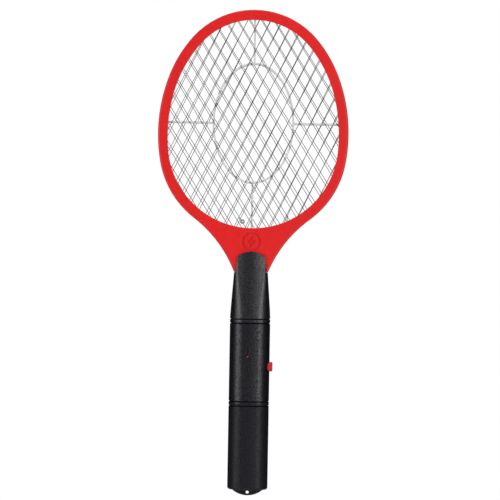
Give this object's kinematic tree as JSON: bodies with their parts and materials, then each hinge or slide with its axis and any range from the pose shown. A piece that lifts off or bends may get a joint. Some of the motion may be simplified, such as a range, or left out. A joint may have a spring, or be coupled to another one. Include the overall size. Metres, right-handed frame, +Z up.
{
  "type": "electric fly swatter",
  "caption": "Racket-shaped electric insect killer: oval head of wire mesh, sandwiched in a frame, on a straight battery handle with a side button.",
  "frame": {"origin": "centre of the hanging hole in the handle's end lug", "axes": "+Z up the handle to the head, front face -Y, button on the +X side"},
  "size_m": [0.174, 0.0289, 0.4436],
  "materials": {
    "red_plastic": "moulded, semi-gloss",
    "black_plastic": "fine moulded grain",
    "pale_plastic": "translucent natural plastic",
    "button_plastic": "moulded",
    "led_lens": "tinted clear lens",
    "grid_wire": "drawn wire",
    "screw_steel": "zinc plated",
    "spring_steel": "nickel plated",
    "contact_steel": "tinned strip",
    "contact_brass": "stamped",
    "cell_jacket": "printed sleeve, plain",
    "board": "phenolic laminate",
    "ferrite": "sintered",
    "winding": "taped winding",
    "cap_coat": "dipped coating",
    "diode_body": "moulded, one band",
    "resistor_body": "lacquered",
    "transistor_body": "moulded",
    "switch_body": "moulded",
    "plunger_plastic": "moulded",
    "red_sleeve": "wire insulation",
    "black_sleeve": "wire insulation",
    "white_sleeve": "wire insulation"
  },
  "bodies": {
    "swatter": {"head_front_frame": "red_plastic", "head_rear_frame": "red_plastic", "head_screws": "screw_steel", "front_grid": "grid_wire", "rear_grid": "grid_wire", "grid_spacer": "pale_plastic", "grid_eyelet": "contact_steel", "front_contact": "contact_steel", "rear_contact": "contact_steel", "handle_front_shell": "black_plastic", "handle_rear_shell": "black_plastic", "handle_screws": "screw_steel", "battery_left": "cell_jacket", "battery_right": "cell_jacket", "cell_springs": "spring_steel", "contact_plates": "contact_brass", "circuit_board": "board", "transformer_core": "ferrite", "transformer_coil": "winding", "hv_capacitor": "cap_coat", "diodes": "diode_body", "resistors": "resistor_body", "transistor": "transistor_body", "indicator_led": "led_lens", "side_switch": "switch_body", "battery_lead_positive": "red_sleeve", "battery_lead_negative": "black_sleeve", "hv_lead_front": "red_sleeve", "hv_lead_rear": "white_sleeve"},
    "battery_cover": {"battery_cover": "black_plastic"},
    "push_button": {"push_button": "button_plastic"},
    "switch_plunger": {"switch_plunger": "plunger_plastic"}
  },
  "joints": [
    {"name": "cover_slide", "type": "slide", "parent": "swatter", "child": "battery_cover", "axis": [0, 0, -1], "range_m": [0, 0.076]},
    {"name": "button_press", "type": "slide", "parent": "swatter", "child": "push_button", "axis": [-1, 0, 0], "range_m": [0, 0.0012], "stiffness_N_per_m": 1200, "springref_m": -0.0005},
    {"name": "plunger_press", "type": "slide", "parent": "swatter", "child": "switch_plunger", "axis": [-1, 0, 0], "range_m": [0, 0.0012]}
  ],
  "couplings": [
    {"joint": "plunger_press", "follows": "button_press", "ratio": 1}
  ]
}
